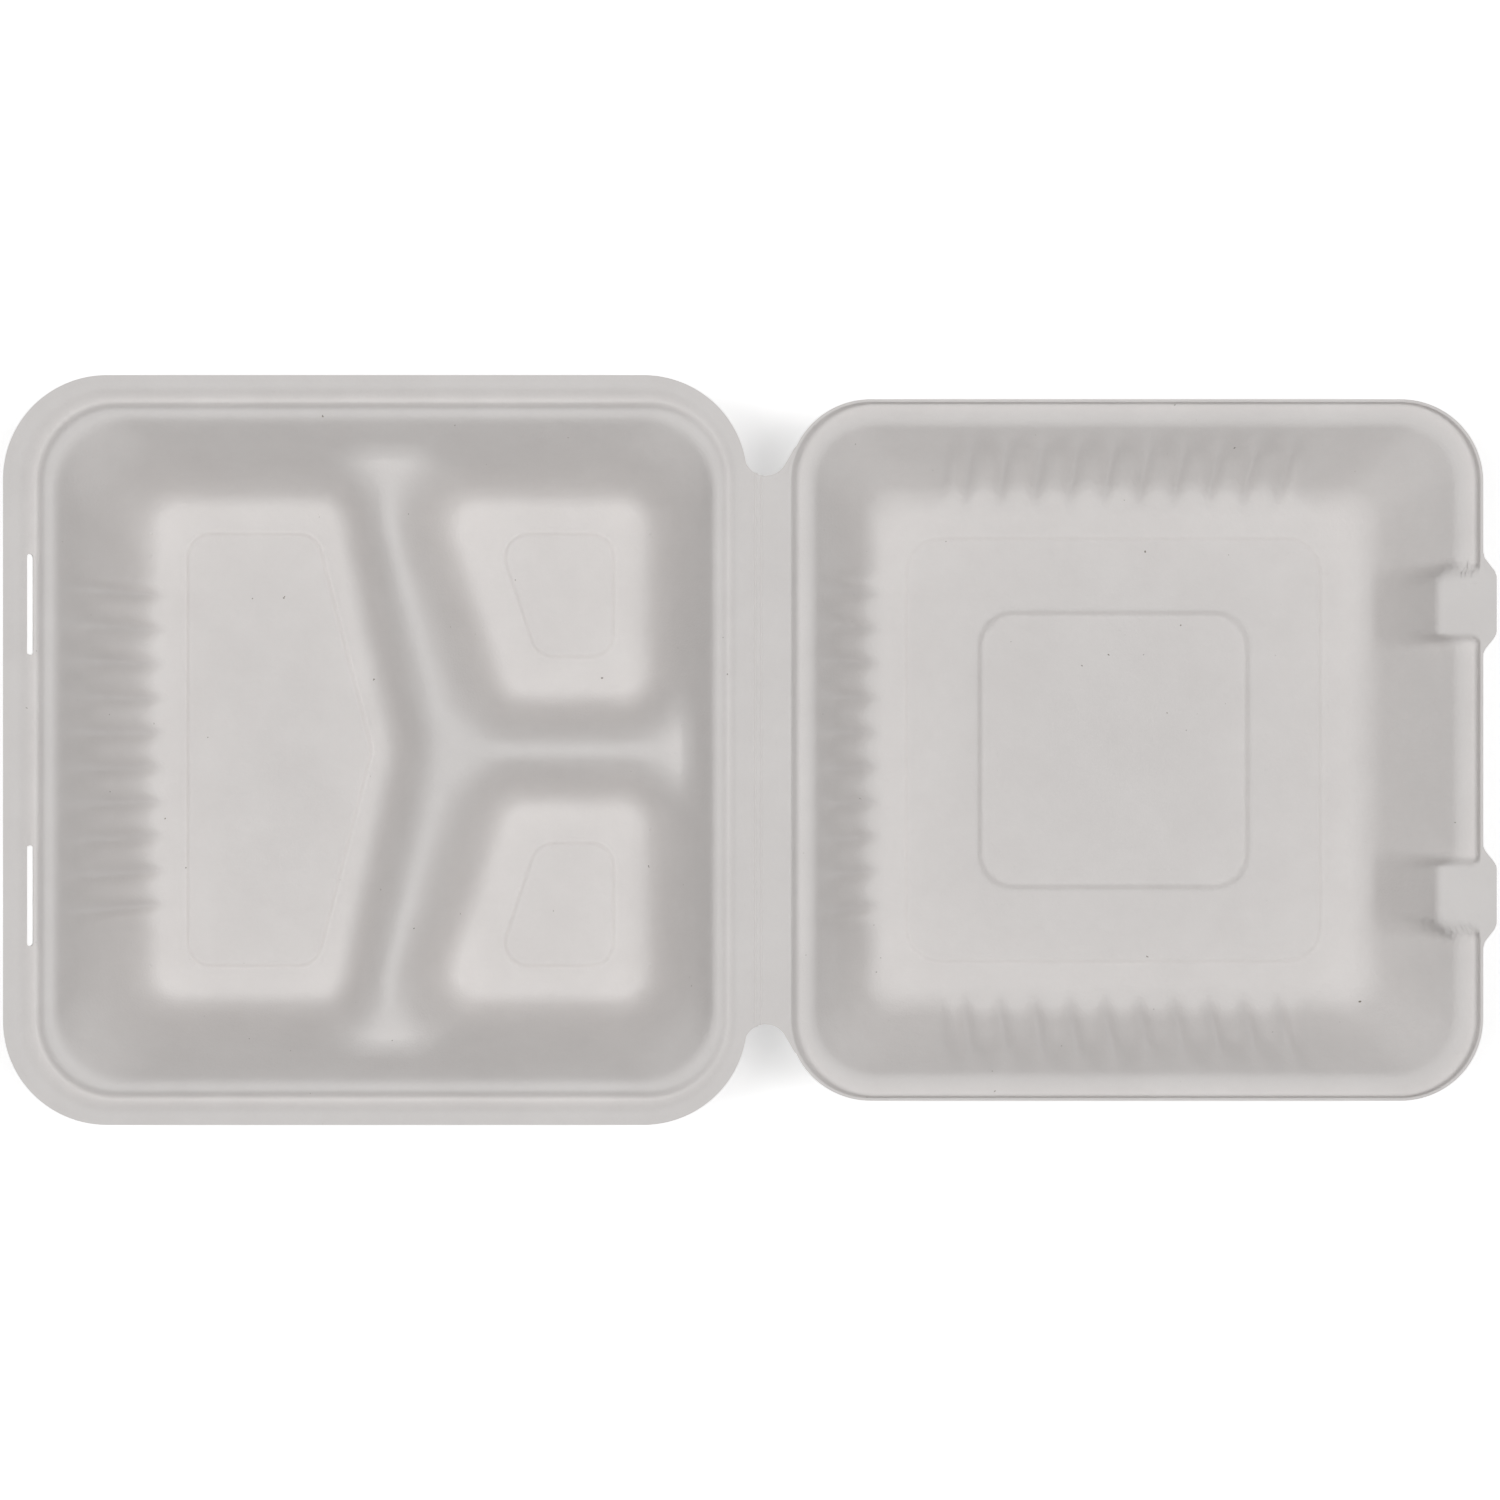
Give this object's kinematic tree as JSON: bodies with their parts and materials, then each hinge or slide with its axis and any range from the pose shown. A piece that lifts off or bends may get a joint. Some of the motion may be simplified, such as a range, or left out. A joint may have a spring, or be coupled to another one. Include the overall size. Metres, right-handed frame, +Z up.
{
  "type": "moulded pulp meal box",
  "caption": "Hinged take-away meal box moulded from sugar-cane pulp: a shallow tray parted by a Y-shaped divider and a fluted lid on a scored fold, with closing tabs and slots.",
  "frame": {"origin": "centre of the open box's bounding box, on the surface that the tray stands on", "axes": "+Z up out of the open hollows, +X from the tray towards the lid across the fold, +Y along the fold"},
  "size_m": [0.4542, 0.228, 0.045],
  "materials": {
    "pulp": "matte moulded fibre"
  },
  "bodies": {
    "tray_body": {"base_tray": "pulp"},
    "lid_body": {"lid": "pulp"}
  },
  "joints": [
    {"name": "lid_fold", "type": "hinge", "parent": "tray_body", "child": "lid_body", "pos_m": [0.0025, 0, 0.045], "axis": [0, -1, 0], "range_deg": [0, 180]}
  ]
}
